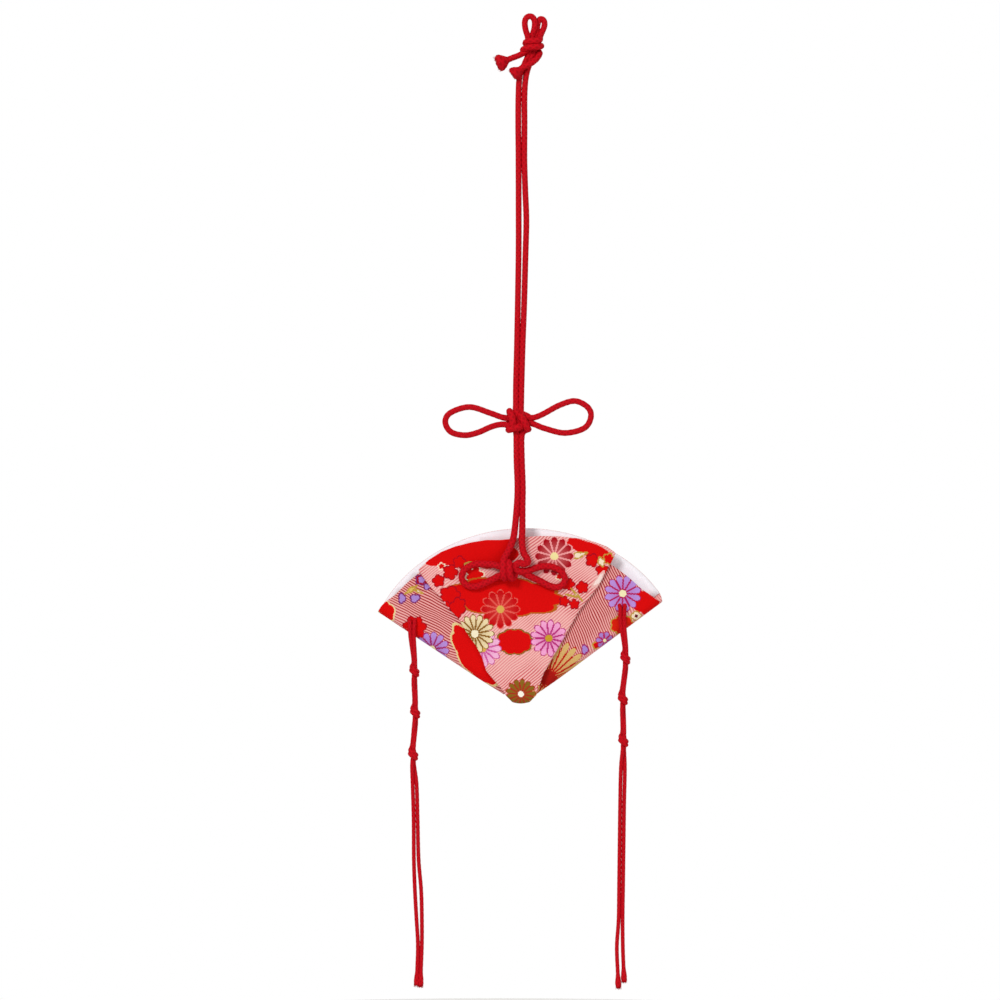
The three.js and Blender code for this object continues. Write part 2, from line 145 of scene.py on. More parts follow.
floorMaterial = bpy.data.materials.new("paleFloor")
floorMaterial.use_nodes = True
floorMaterial.node_tree.nodes["Principled BSDF"].inputs["Base Color"].default_value = hexColour("#f4f2f0")
floorMaterial.node_tree.nodes["Principled BSDF"].inputs["Roughness"].default_value = 0.8
bpy.ops.mesh.primitive_circle_add(vertices=96, radius=stage["floorRadius"], fill_type="NGON",
                                  location=(viewX, 0, cadBox[0][2] - stage["floorDrop"] * mm))
floor = bpy.context.object
floor.name = "floor"
floor.data.materials.append(floorMaterial)
bpy.ops.object.select_all(action="DESELECT")
print("stage ready")


# Cords
braid = {
    "hangingDiameter": 2.4,
    "tasselDiameter": 1.6,
    "ringStep": 0.3,     # mm between rings of the mesh
    "sides": 20,
    "strands": 4,        # ridges that cross each way round the cord
    "pitch": 2.2,        # mm from one crossing of the strands to the next but one
    "relief": 0.035,     # height of a ridge, as a share of the radius
}


def smoothRoute(points, step):  # Catmull-Rom through the points, resampled to even steps
    p = np.array(points, dtype=float)
    p = np.vstack([2 * p[0] - p[1], p, 2 * p[-1] - p[-2]])
    dense = []
    for a, b, c, d in zip(p, p[1:], p[2:], p[3:]):
        t = np.linspace(0, 1, 24, endpoint=False)[:, None]
        dense.append(0.5 * (2 * b + (c - a) * t + (2 * a - 5 * b + 4 * c - d) * t ** 2
                            + (3 * b - a - 3 * c + d) * t ** 3))
    dense = np.vstack([*dense, p[-2]])
    along = np.concatenate([[0], np.cumsum(np.linalg.norm(np.diff(dense, axis=0), axis=1))])
    even = np.linspace(0, along[-1], int(along[-1] / step) + 1)
    line = np.stack([np.interp(even, along, dense[:, i]) for i in range(3)], 1)
    for _ in range(3):  # takes the last kinks out of the knots
        line[1:-1] = (line[:-2] + 2 * line[1:-1] + line[2:]) / 4
    return line


def braidedTube(name, line, diameter, material, swellings=()):
    swell = np.ones(len(line))
    for (x, z), reach, factor in swellings:  # a knot's crossing strands are pressed flat and look thicker
        swell += (factor - 1) * np.exp(-(np.hypot(line[:, 0] - x, line[:, 2] - z) / reach) ** 4)
    tangents = np.gradient(line, axis=0)
    tangents /= np.linalg.norm(tangents, axis=1)[:, None]
    side = np.cross(tangents[0], (0, 1, 0.2))
    sides = braid["sides"]
    turn = np.linspace(0, 2 * pi, sides, endpoint=False)
    points, uvs = [], []
    travelled = 0
    for i, (centre, tangent) in enumerate(zip(line, tangents)):
        side = side - tangent * side.dot(tangent)  # carried along without twist
        side /= np.linalg.norm(side)
        up = np.cross(tangent, side)
        if i:
            travelled += np.linalg.norm(centre - line[i - 1])
        lay = 2 * pi * travelled / braid["pitch"]
        ridges = np.maximum(np.cos(braid["strands"] * turn + lay), np.cos(braid["strands"] * turn - lay))
        radius = diameter / 2 * swell[i] * (1 + braid["relief"] * (ridges - 0.5))
        points.extend(centre + radius[:, None] * (np.cos(turn)[:, None] * side + np.sin(turn)[:, None] * up))
        uvs.extend((angle / (2 * pi), travelled) for angle in turn)
    rings = len(line)
    faces = []
    for i in range(rings - 1):
        for j in range(sides):
            k = (j + 1) % sides
            faces.append((i * sides + j, i * sides + k, (i + 1) * sides + k, (i + 1) * sides + j))
    faces.append(tuple(reversed(range(sides))))
    faces.append(tuple((rings - 1) * sides + j for j in range(sides)))
    return meshPiece(name, points, faces, material, uvs)


def crimsonCordMaterial(name, diameter):
    # polyester braid: dull red with a random fibre tone, painted shade in the grooves between the strands,
    # and a faint silky sheen
    material = bpy.data.materials.new(name)
    material.use_nodes = True
    tree = material.node_tree
    shader = tree.nodes["Principled BSDF"]
    cloth = addNode(tree, "UVMap", {"uv_map": "cloth"})
    place = addNode(tree, "SeparateXYZ", {}, {0: cloth})
    around = addNode(tree, "Math", "MULTIPLY", {0: place, 1: 2 * pi * braid["strands"]})
    along = addNode(tree, "Math", "MULTIPLY", {0: place.outputs[1], 1: 2 * pi / braid["pitch"]})
    ridge = None
    for operation in ("ADD", "SUBTRACT"):
        lay = addNode(tree, "Math", operation, {0: around, 1: along})
        wave = addNode(tree, "Math", "COSINE", {0: lay})
        ridge = wave if ridge is None else addNode(tree, "Math", "MAXIMUM", {0: ridge, 1: wave})
    fibre = addNode(tree, "TexNoise", {}, {"Vector": cloth, "Scale": 6.0, "Detail": 3.0})
    uneven = addNode(tree, "Math", "MULTIPLY_ADD", {0: fibre, 1: 0.9, 2: ridge})
    # the fibre noise is the cord's own uneven tone; the darkening in the grooves between the ridges is
    # painted shade
    shade = addNode(tree, "MapRange", {}, {"Value": uneven, "From Min": -0.1, "From Max": 1.5})
    colours = addNode(tree, "Mix", {"data_type": "RGBA"},
                      {0: shade, 6: hexColour("#a8000e"), 7: hexColour("#c80216")})
    bump = addNode(tree, "Bump", {}, {"Height": uneven, "Strength": 0.35, "Distance": 0.06 * diameter * mm})
    tree.links.new(colours.outputs[2], shader.inputs["Base Color"])
    tree.links.new(bump.outputs[0], shader.inputs["Normal"])
    shader.inputs["Roughness"].default_value = 0.75
    shader.inputs["Specular IOR Level"].default_value = 0.12
    return material


cordRed = crimsonCordMaterial("braidedPolyesterCord", braid["hangingDiameter"])
hangingRoutes = {  # each half runs from the middle of the lacing at the back up to its flared end
    "left": [
        (-6.4, 9.5, -220), (-7.7, 9.2, -220), (-8.2, 8, -220), (-8.2, 5, -220), (-8.2, 2, -220.2),
        (-8.4, 0.2, -220.6), (-9.4, -1.1, -221), (-11.4, -1.4, -221.4), (-13.6, -0.9, -222.2),
        (-16, 0.1, -223.4), (-18.8, 0.6, -224.8), (-22.8, 0.6, -226.5), (-26.6, 0.6, -226.2),
        (-28.9, 0.6, -223.4), (-27.8, 0.6, -219.9), (-23.6, 0.6, -217.7), (-18, 0.5, -217.7),
        (-15.6, -0.2, -218), (-13.4, -1, -218.6), (-11, -1.4, -219), (-8.8, -1.2, -219.4),
        (-7.6, -0.4, -221.2), (-8.2, -0.6, -223), (-9.2, -2.2, -223.1), (-9.8, -3.3, -221.2),
        (-9.9, -3.4, -219.4), (-10, -2.6, -217.4), (-10.4, -1.2, -216.9), (-10.9, 0.4, -218.2),
        (-11.2, 0.6, -220.2), (-11.5, 0.2, -222.2), (-11.8, -1.2, -223.3), (-12.1, -2.9, -222.4),
        (-12.3, -3.4, -220.2), (-12.3, -3, -217.8), (-12, -1.9, -215.6), (-10.8, -0.9, -213.4),
        (-9.5, -0.3, -210.8), (-8, 0, -206), (-7, 0, -196), (-6.6, 0, -187), (-6.95, 0, -177),
        (-7.05, 0.3, -169.4), (-7.05, 0.7, -165.4), (-7.4, 1.2, -162.4), (-8.4, 1.3, -159.4),
        (-9.8, 0.6, -157), (-9.7, -0.9, -156.4), (-9.1, -1.9, -158), (-8.5, -2.1, -160.4),
        (-8.6, -1.7, -162), (-9.8, -0.8, -162.4), (-11.4, -0.2, -161.8), (-14.2, 0, -161.9),
        (-17.6, 0, -162.9), (-22.4, 0, -165), (-27.6, 0, -166.1), (-33.2, 0, -164.8), (-35.5, 0, -160.8),
        (-33.4, 0, -157.1), (-25.8, 0, -154.8), (-17.6, 0, -157.2), (-13.2, 0, -158.8),
        (-11.2, 0.2, -159.2), (-9.2, 0.6, -159.5), (-7.2, 0.5, -159.2), (-6.9, -0.5, -158),
        (-7.2, -0.8, -156.2), (-7.25, -0.3, -153.4), (-7.2, 0, -146), (-6.8, 0, -130), (-6.45, 0, -112),
        (-6.15, 0, -92), (-6.15, 0, -72), (-6.2, 0, -52), (-6.3, 0, -42), (-6.2, 0, -30),
        (-5.7, 0, -22.6), (-3.7, 0.1, -17.4), (-2, 0.6, -13.4), (-1.2, 0.8, -10), (-0.8, 0.2, -6.8),
        (0.1, -0.6, -3.6), (0.3, -0.8, -0.8), (-0.5, -0.8, 1), (-1.9, -0.8, 1.4), (-3.2, -0.8, 0.6),
        (-3.7, -0.8, -1.4), (-3.3, -0.7, -4.2), (-2.4, -0.5, -7), (-2.2, -0.6, -10), (-3.6, -0.7, -12.8),
        (-6, -0.6, -14.2), (-8.4, -0.5, -15.1), (-10.6, -0.5, -16),
    ],
    "right": [
        (-6.4, 9.5, -220), (-5.1, 9.2, -220), (-4.6, 8, -220), (-4.6, 5, -220), (-4.6, 2, -220.4),
        (-4.3, 0.4, -221), (-3, -0.4, -221.8), (-1, -0.2, -222.8), (2.4, 0.4, -224.4),
        (6.4, 0.6, -226.4), (10, 0.6, -226.8), (12.3, 0.6, -224.6), (11.6, 0.6, -221.6),
        (8.6, 0.6, -219.2), (5, 0.6, -218.5), (1.4, 0.3, -219), (-1.6, -0.6, -220), (-4.6, -1.4, -220.6),
        (-7, -1.9, -220), (-7.6, -2.4, -218.4), (-6, -2.8, -217.2), (-3.8, -2.8, -217.5),
        (-2.4, -2.2, -216.8), (-2.9, -1.6, -215.2), (-4.2, -0.8, -213), (-4.8, -0.2, -209),
        (-4.7, 0, -204), (-4.6, 0, -195), (-4.45, 0, -187), (-4.8, 0, -177), (-5, 0, -169.4),
        (-4.9, 0.4, -166.6), (-4.5, 0.9, -164.8), (-3.2, 0.7, -163.9), (-2.2, -0.4, -163.7),
        (-2.6, -1.7, -163.4), (-3.4, -2.2, -161.6), (-4.7, -2.2, -159.5), (-5.3, -1.5, -158.4),
        (-4.6, -0.4, -157.8), (-3, 0, -158.4), (-1.2, 0, -159.2), (1.4, 0, -158.6), (4.4, 0, -157.2),
        (10.4, 0, -154), (16.4, 0, -152.4), (21.4, 0, -154.8), (22.8, 0, -158.6), (20.2, 0, -163.2),
        (12.4, 0, -165.2), (4.4, 0, -163.4), (0.8, 0, -162), (-1.2, 0.3, -161.3), (-3.4, 0.9, -161.4),
        (-6.2, 2, -162), (-7.8, 2.4, -163), (-9.4, 1.4, -163.8), (-10.2, 0, -164), (-9.8, -1.3, -163.8),
        (-8.2, -1.9, -163.3), (-6.2, -1.7, -162.8), (-4.8, -0.9, -162), (-5, 0.2, -160.2),
        (-5.3, 0.2, -158.2), (-5.35, -0.2, -156.2), (-5.15, 0, -153.4), (-5, 0, -146), (-4.55, 0, -130),
        (-3.95, 0, -114), (-3.4, 0, -94), (-3.05, 0, -80), (-3.5, 0, -68), (-3.85, 0, -56),
        (-3.8, 0, -42), (-3.8, 0, -30), (-3.2, 0, -22.6), (-1.6, 0, -17), (0, 0.6, -13), (0.5, 0.9, -10),
        (0.7, 0.8, -6.8), (1.2, 0.8, -3.8), (1.5, 0.8, -1.4), (2.2, 0.8, 0.3), (3.3, 0.8, 0.5),
        (4.2, 0.8, -0.7), (4.1, 0.8, -2.6), (3.2, 0.6, -4.8), (2.4, 0, -6.8), (2.3, -1.4, -8.1),
        (1, -2.5, -8.6), (-1, -2.7, -8.7), (-2.7, -2, -8.9), (-3.4, -0.3, -9.2), (-2.9, 1.6, -9.6),
        (-1, 2.5, -9.9), (1.2, 2.4, -10), (2.6, 1.2, -10.2), (2.8, -0.6, -10.5), (1.9, -2.1, -10.9),
        (0, -2.7, -11.1), (-2.4, -2.4, -11.3), (-4.1, -1.4, -11.8), (-4.4, 0.4, -12.2),
        (-3.3, 1.8, -12.4), (-1, 2.3, -12.4), (1.2, 1.8, -12.5), (2.3, 0.6, -13), (2, -0.9, -14.2),
        (1, -2, -15.8), (-0.8, -2.6, -17.4), (-3, -2.7, -18.5), (-4.8, -2.6, -19.4), (-5.9, -2.5, -20.2),
    ],
}
hangingEnds = {"left": (5.6, 7.2), "right": (4.4, 5.6)}  # length and width of each frayed end
fray = {
    "rings": 9,
    "sides": 28,
    "lip": 0.75,         # share of the length where the lip starts to roll in
    "fibres": 90,
    "fibre": 0.11,       # radius of a fibre in mm
}
knotSwellings = [  # middle of a knot, how far it reaches in mm, how much thicker its strands look
    ((-6.2, -160.4), 5, 1.25),
    ((-8.2, -219.4), 5, 1.08),
    ((-8.2, -221), 24, 1.14),
    ((-0.4, -10), 4, 1.12),
]


def frayedEnd(name, line, diameter, length, width, material):  # a tuft of fibres round a solid core
    end = line[-1]
    axis = line[-1] - line[-6]
    axis /= np.linalg.norm(axis)
    side = np.cross(axis, (0, 1, 0.3))
    side /= np.linalg.norm(side)
    up = np.cross(axis, side)
    random = np.random.default_rng(len(name) + int(abs(end[0]) * 10))
    points, faces, uvs = [], [], []
    rings = fray["rings"]
    sides = fray["sides"]
    for i in range(rings):
        share = i / (rings - 1)
        flare = sin(pi / 2 * min(1, share / fray["lip"])) ** 1.3
        spread = diameter / 2 * 0.96 + (width / 2 * 0.96 - diameter / 2) * flare
        spread *= 1 - 0.35 * max(0, (share - fray["lip"]) / (1 - fray["lip"])) ** 2  # the lip rolls in
        for j in range(sides):
            angle = 2 * pi * j / sides
            ripple = 1 + 0.09 * share * random.uniform(-1, 1)
            reach = length * (0.92 * share + 0.05 * share * random.uniform(-1, 1)) - 0.5
            points.append(end + axis * reach + spread * ripple * (cos(angle) * side + sin(angle) * up))
            uvs.append((j / sides, reach))
    for i in range(rings - 1):
        for j in range(sides):
            k = (j + 1) % sides
            faces.append((i * sides + j, i * sides + k, (i + 1) * sides + k, (i + 1) * sides + j))
    faces.append(tuple(reversed(range(sides))))
    faces.append(tuple((rings - 1) * sides + j for j in range(sides)))
    for _ in range(fray["fibres"]):  # loose fibres standing out of the core
        angle = random.uniform(0, 2 * pi)
        radius = sqrt(random.uniform(0.05, 1))
        out = cos(angle) * side + sin(angle) * up
        across = np.cross(axis, out)
        reach = length * random.uniform(0.8, 1.0)
        first = len(points)
        for i in range(4):
            share = i / 3
            spread = radius * (diameter / 2 * 0.9 + (width / 2 - diameter / 2) * share ** 0.85)
            centre = end + axis * (reach * share - 0.4) + out * spread
            taper = fray["fibre"] * (1 - 0.6 * share)
            points.extend([centre + taper * out, centre + taper * (-0.5 * out + 0.87 * across),
                           centre + taper * (-0.5 * out - 0.87 * across)])
            uvs.extend([(angle, reach * share)] * 3)
        for i in range(3):
            for j in range(3):
                k = (j + 1) % 3
                a, b = first + i * 3, first + i * 3 + 3
                faces.append((a + j, a + k, b + k, b + j))
        faces.append((first + 2, first + 1, first))
        faces.append((first + 9, first + 10, first + 11))
    return meshPiece(name, points, faces, material, uvs)


# Middle of the crown knot, where the strands are pulled tight into one another
crownCore = {"place": (-6.2, 0, -160.7), "half": (3.9, 1.6, 3.9)}  # half sizes in mm
bpy.ops.mesh.primitive_uv_sphere_add(segments=40, ring_count=24, radius=mm,
                                     location=[c * mm for c in crownCore["place"]])
knotCore = bpy.context.object
knotCore.name = "crown_knot_core"
knotCore.scale = crownCore["half"]
bpy.ops.object.transform_apply(location=True, rotation=True, scale=True)
bpy.ops.object.shade_smooth()
knotCore.data.uv_layers[0].name = "cloth"
knotCore.data.materials.append(cordRed)
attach(knotCore, "root")
bpy.ops.object.select_all(action="DESELECT")

for side, route in hangingRoutes.items():
    line = smoothRoute(route, braid["ringStep"])
    cordHalf = braidedTube(f"hanging_cord_{side}", line, braid["hangingDiameter"], cordRed, knotSwellings)
    length, width = hangingEnds[side]
    tuft = frayedEnd(f"hanging_cord_end_{side}", line, braid["hangingDiameter"], length, width, cordRed)
    for piece in (cordHalf, tuft):
        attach(piece, "root")
    parts = ("hanging_loop", "top_tail", "upper_strand", "side_loop", "lower_strand", "bow_loop")
    nodes = [f"{part}_{side}" for part in parts]
    shared = {"left": ["bow_anchor", "front_bow_knot"], "right": ["crown_knot", "top_bow_knot"]}[side]
    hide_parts(*nodes, *shared)
print("hanging cord ready")

tassels = {
    "depth": 2.0,           # cord's middle in front of the wings
    "apart": 0.4,           # half the distance between the two strands by a knot, across and in depth
    "behind": 0.68,
    "knotTurns": 1.75,
    "knotHeight": 2.4,
    "knotRadius": 1.2,
    "knotTilt": 0.7,
    "knotSwell": 1.3,
    "knotReach": 1.9,       # how far a knot thickens its strands
    "end": (6.5, 2.6),      # length and width of each frayed end
    "left": {
        "hole": (-48.8, -239.6),
        "knots": [(-47.9, -260.6), (-47.6, -277.2), (-48.4, -294)],
        "tails": {
            "a": [
                (-48.6, -306), (-48.2, -320), (-48.1, -336), (-47.7, -348), (-47.1, -359), (-46.5, -370),
                (-46.8, -381),
            ],
            "b": [
                (-47, -306), (-46.6, -320), (-46.2, -336), (-45.2, -348), (-44.9, -359), (-44.9, -370),
                (-45.3, -381.4),
            ],
        },
    },
    "right": {
        "hole": (35.4, -234),
        "knots": [(36.6, -255.5), (35.6, -271.8), (35.8, -288.6)],
        "tails": {
            "a": [
                (34.8, -300), (34.5, -315), (34.3, -330), (34.1, -346), (33.9, -360), (33.2, -371),
                (33.6, -382),
            ],
            "b": [
                (36.4, -300), (36.1, -315), (35.9, -330), (35.7, -346), (35.5, -360), (35.6, -371),
                (35.9, -379.6),
            ],
        },
    },
}


def tasselRoute(tassel, strand):
    sign = {"a": -1, "b": 1}[strand]
    y = tassels["depth"]
    holeX, holeZ = tassel["hole"]
    route = [  # out of the hole and down the wing
        (holeX + sign * 0.4, 5.2, holeZ), (holeX + sign * 1.0, 4.2, holeZ),
        (holeX + sign * 1.1, 3, holeZ - 0.2), (holeX + sign * 0.85, y, holeZ - 2),
        (holeX + sign * 0.74, y, holeZ - 7),
    ]
    for x, z in tassel["knots"]:
        top = z + tassels["knotHeight"] / 2
        radius = tassels["knotRadius"]
        route.append((x + sign * tassels["apart"], y - sign * tassels["behind"], top + 3))
        if strand == "a":  # this strand is wound round the other
            for k in range(int(tassels["knotTurns"] * 8) + 1):
                turn = k / 8
                angle = pi - 2 * pi * turn
                drop = tassels["knotHeight"] * turn / tassels["knotTurns"] + tassels["knotTilt"] * cos(angle)
                route.append((x + radius * cos(angle), y - radius * sin(angle), top - drop))
        else:
            route.append((x + 0.25, y, z))
        below = top - tassels["knotHeight"] - 3
        route.append((x + sign * tassels["apart"], y + sign * tassels["behind"], below))
    return route + [(x, y, z) for x, z in tassel["tails"][strand]]


for side in ("left", "right"):
    for strand in ("a", "b"):
        line = smoothRoute(tasselRoute(tassels[side], strand), braid["ringStep"])
        swellings = [(knot, tassels["knotReach"], tassels["knotSwell"]) for knot in tassels[side]["knots"]]
        cord = braidedTube(f"{side}_tassel_cord_{strand}", line, braid["tasselDiameter"], cordRed, swellings)
        tuft = frayedEnd(f"{side}_tassel_end_{strand}", line, braid["tasselDiameter"], *tassels["end"],
                         cordRed)
        for piece in (cord, tuft):
            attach(piece, "root")
        nodes = [f"{side}_tassel_{part}_{strand}" for part in ("upper", "lower", "tail")]
        knots = [f"{side}_tassel_loop"] + [f"{side}_tassel_knot_{i}" for i in (1, 2, 3)]
        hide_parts(*nodes, *(knots if strand == "a" else []))
print("tassel cords ready")

# Brocade wrap: one sheet, cut flat in millimetres from the apex of the fan, then folded by formula
wrap = {
    "apex": (-5.2, -274.8),
    "crown": 71.4,           # apex to the top arc
    "lean": 1.8,             # the arc stands a little further out on the right
    "left": radians(56.4),   # upright to each lower edge
    "right": radians(53.4),
    "tipRise": 1.3,
    "tipWidth": 11.4,
    "tipRound": 0.05,        # rise of the tip for each mm squared from its middle
    "tipRoundReach": 3.2,    # and no further out than this
    "tipWaist": (1.09, 0.82, 0.62, 0.55, 0.62, 0.82, 1.09),  # widths round the fold, as shares of tipWidth
    "backY": 8.1,            # middle of the cloth in each layer
    "wingY": 3.2,
    "flapY": 2.0,
    "thickness": 0.6,
    "tipPart": 0.57,         # share of tipWidth, each way, that folds with the tip
    "flapSlope": 0.577,      # the flap is cut below this slope, the wings above it
    "wingStart": 8.2,
    "wingToe": 4.0,
    "wingTop": 67.4,
    "wingFree": radians(9),
    "tightFold": 1.0,        # fold radius by the tip, where nothing fills the pouch
    "grid": 1.5,
}
flapFront = {  # outline of the front flap as it lies, from the tip up the right edge, over the arc and down
    "rightEdge": [
        (6.4, 5.2), (9, 13.2), (16.3, 26), (23, 38), (30.8, 48), (36.6, 58.6), (38, 61.6),
    ],
    "arc": [
        (34.4, 64.2), (29.6, 66), (23.6, 67.4), (16, 68.2), (8, 68.4), (2, 68), (-4, 67.2), (-8.4, 66.8),
        (-14, 66.8), (-20, 65.8), (-26.4, 64.2), (-32, 62), (-37, 58.8), (-41.2, 54.8),
    ],
    "leftEdge": [
        (-40.4, 53.6), (-36.4, 48), (-32.4, 44), (-28.8, 39.2), (-25.2, 35.6), (-22, 30), (-18, 24.4),
        (-15.4, 19.4), (-14, 14.4), (-11, 10.8), (-8, 7.4), (-6.4, 5.2),
    ],
}
wingFold = (wrap["backY"] - wrap["wingY"]) / 2
tipFold = (wrap["backY"] - wrap["flapY"]) / 2
tipTangent = wrap["tipRise"] + tipFold
edges = {}
for side, sign in (("left", -1), ("right", 1)):
    edges[side] = {"along": np.array((sign * sin(wrap[side]), cos(wrap[side]))),
                   "out": np.array((sign * cos(wrap[side]), -sin(wrap[side])))}


def smoothStep(low, high, value):
    t = np.clip((value - low) / (high - low), 0, 1)
    return t * t * (3 - 2 * t)


def foldRadius(along):
    return wrap["tightFold"] + (wingFold - wrap["tightFold"]) * smoothStep(7, 22, along)


def wingFlat(side, front):  # where a point of the folded wing lies on the flat cloth
    edge = edges[side]
    along, inset = float(np.dot(front, edge["along"])), -float(np.dot(front, edge["out"]))
    return edge["along"] * along + edge["out"] * (inset + (pi - 2) * float(foldRadius(along)))


def flapFlat(front):
    return np.array((front[0], 2 * tipTangent - pi * tipFold - front[1]))


def fanPoint(radius, angle):
    return np.array((radius * sin(angle), radius * cos(angle)))


def arcRadius(angle):
    return wrap["crown"] + wrap["lean"] * sin(angle) - 1.6 * (abs(angle) / wrap["left"]) ** 6


def wingCut(side, sign):  # from the tip along the toe, up the free edge, over the arc, back to the corner
    edge = edges[side]
    start = wrap["wingStart"]
    toe = edge["along"] * (start + 0.6) - edge["out"] * (wingFold + wrap["wingToe"])
    free = fanPoint(wrap["wingTop"], sign * wrap["wingFree"])
    cut = [edge["along"] * start, wingFlat(side, toe)]
    cut += [wingFlat(side, toe + (free - toe) * k / 40) for k in range(1, 40)]
    last = wrap[side] - wingFold / wrap["wingTop"]
    for k in range(41):
        angle = wrap["wingFree"] + (last - wrap["wingFree"]) * k / 40
        lift = 1.6 * smoothStep(0.85, 1, k / 40)
        cut.append(wingFlat(side, fanPoint(wrap["wingTop"] + lift, sign * angle)))
    corner = fanPoint(arcRadius(sign * last), sign * last)
    return cut + [cut[-1] + (corner - cut[-1]) * k / 6 for k in range(1, 6)]


def flatOutline():
    right, left = wingCut("right", 1), wingCut("left", -1)
    arc = [fanPoint(arcRadius(a), a) for a in np.linspace(wrap["right"] - 0.036, 0.036 - wrap["left"], 130)]
    neck = wrap["tipWidth"] / 2
    waist = [(x * neck, tipTangent - pi * tipFold * k / 6) for k, x in enumerate(wrap["tipWaist"])]
    flap = []
    for run in ("leftEdge", "arc", "rightEdge"):
        flap += [flapFlat(p) for p in reversed(flapFront[run])]
    corners = right + arc + left[::-1]
    corners += [np.array((-x, v)) for x, v in waist] + flap + [np.array(p) for p in waist[::-1]]
    dense = []
    for a, b in zip(corners, corners[1:] + corners[:1]):
        steps = max(1, int(np.linalg.norm(b - a) / 1.1 + 0.5))
        dense += [a + (b - a) * k / steps for k in range(steps)]
    return np.array(dense)


def insideOutline(points, outline):
    inside = np.zeros(len(points), dtype=bool)
    for (x0, y0), (x1, y1) in zip(outline, np.roll(outline, -1, axis=0)):
        crosses = (y0 > points[:, 1]) != (y1 > points[:, 1])
        with np.errstate(divide="ignore", invalid="ignore"):
            inside ^= crosses & (points[:, 0] < (x1 - x0) * (points[:, 1] - y0) / (y1 - y0) + x0)
    return inside


def hexGrid(outline, step):
    low, high = outline.min(0), outline.max(0)
    rows = np.arange(low[1], high[1], step * 0.866)
    columns = np.arange(low[0], high[0], step)
    grid = np.array([(x + (i % 2) * step / 2, y) for i, y in enumerate(rows) for x in columns])
    grid = grid[insideOutline(grid, outline)]
    near = np.array([np.min(np.sum((outline - p) ** 2, axis=1)) for p in grid])
    return grid[near > (0.6 * step) ** 2]


def cutSheet(outline, step):
    points = np.vstack([outline, hexGrid(outline, step)])
    loop = list(range(len(outline)))
    verts, _, faces, *_ = delaunay_2d_cdt([Vector(p) for p in points], [], [loop], 1, 1e-5)
    return np.array(verts), [tuple(f) for f in faces]


def packetBulge(x, z):  # the filling lifts the layers over it
    r, a = np.hypot(x, z), np.abs(np.arctan2(x, z))
    return smoothStep(10, 24, r) * (1 - smoothStep(34, 47, r)) * (1 - smoothStep(0.35, 0.72, a))


def foldSheet(flat):
    u, v = flat[:, 0], flat[:, 1]
    x, z, forward = u.copy(), v.copy(), np.zeros(len(flat))
    middle = np.abs(u) <= wrap["tipPart"] * wrap["tipWidth"]
    lower = (v < tipTangent) & middle | (v < -wrap["flapSlope"] * np.abs(u))
    s = tipTangent - v
    bend = np.clip(s / tipFold, 0, pi)
    z = np.where(lower, tipTangent - tipFold * np.sin(bend) + np.maximum(s - pi * tipFold, 0), z)
    forward = np.where(lower, tipFold * (1 - np.cos(bend)), forward)
    layer = np.where(lower, 1, 0)  # 0 back, 1 flap, 2 left wing, 3 right wing
    for number, side in ((2, "left"), (3, "right")):
        edge = edges[side]
        along, out = flat @ edge["along"], flat @ edge["out"]
        radius = foldRadius(along)
        s = out + radius
        turned = (s > 0) & ~lower
        bend = np.clip(s / radius, 0, pi)
        reach = -radius + radius * np.sin(bend) - np.maximum(s - pi * radius, 0)
        x = np.where(turned, along * edge["along"][0] + reach * edge["out"][0], x)
        z = np.where(turned, along * edge["along"][1] + reach * edge["out"][1], z)
        forward = np.where(turned, radius * (1 - np.cos(bend)), forward)
        layer = np.where(turned & (s > pi / 2 * radius), number, layer)
    rounding = wrap["tipRound"] * np.minimum(np.abs(u), wrap["tipRoundReach"]) ** 2
    z += rounding * np.exp(-((tipTangent - pi * tipFold / 2 - v) / 6) ** 2)
    y = wrap["backY"] - forward
    ripple = np.sin(0.21 * x + 0.34 * z) * np.sin(0.17 * x - 0.23 * z + 1)
    lift = {0: 0.15 * ripple + 0.35 * packetBulge(x, z), 1: 0.22 * ripple - 0.95 * packetBulge(x, z),
            2: 0.16 * ripple - 0.75 * packetBulge(x, z), 3: 0.16 * ripple - 0.75 * packetBulge(x, z)}
    settled = smoothStep(0, 6, np.where(layer == 0, 9, np.abs(forward - tipFold)))
    for number, shift in lift.items():
        y += np.where(layer == number, shift * np.maximum(settled, 0.2), 0)
    apexX, apexZ = wrap["apex"]
    return np.stack([x + apexX, y, z + apexZ], 1)


# Brocade: flowers and clouds woven over a striped pink ground, drawn in millimetres of the flat cloth
brocade = bpy.data.materials.new("silkBrocade")  # satin floats: soft sheen on the flowers, dull ribs between
brocade.use_nodes = True
tree = brocade.node_tree
weave = {
    "stripe": 0.95,          # mm from one ground stripe to the next
    "stripeTurn": radians(140),
    "step": 0.3,             # edges of the motifs move in steps of this many mm, as woven ones do
    "thread": 0.55,          # drawn coarser than the real 0.2 mm thread, which would be lost between pixels
}
red, darkRed, cream, gold, lavender = "#d80404", "#a80418", "#f2dfc2", "#bf963e", "#a884cc"

rosette = bpy.data.node_groups.new("rosette", "ShaderNodeTree")  # chrysanthemum with ruled petals
for label, kind in (("Cloth", "Vector"), ("Under", "Color"), ("Centre", "Vector"), ("Radius", "Float"),
                    ("Petals", "Float"), ("Petal", "Color"), ("Line", "Color"), ("Heart", "Color")):
    rosette.interface.new_socket(label, in_out="INPUT", socket_type=f"NodeSocket{kind}")
rosette.interface.new_socket("Colour", in_out="OUTPUT", socket_type="NodeSocketColor")
rosette.interface.new_socket("Cloth", in_out="OUTPUT", socket_type="NodeSocketVector")
given = addNode(rosette, "NodeGroupInput").outputs
offset = addNode(rosette, "VectorMath", "SUBTRACT", {0: given["Cloth"], 1: given["Centre"]})
away = addNode(rosette, "VectorMath", "LENGTH", {0: offset})
spot = addNode(rosette, "SeparateXYZ", {}, {0: offset})
angle = addNode(rosette, "Math", "ARCTAN2", {0: spot.outputs[1], 1: spot})
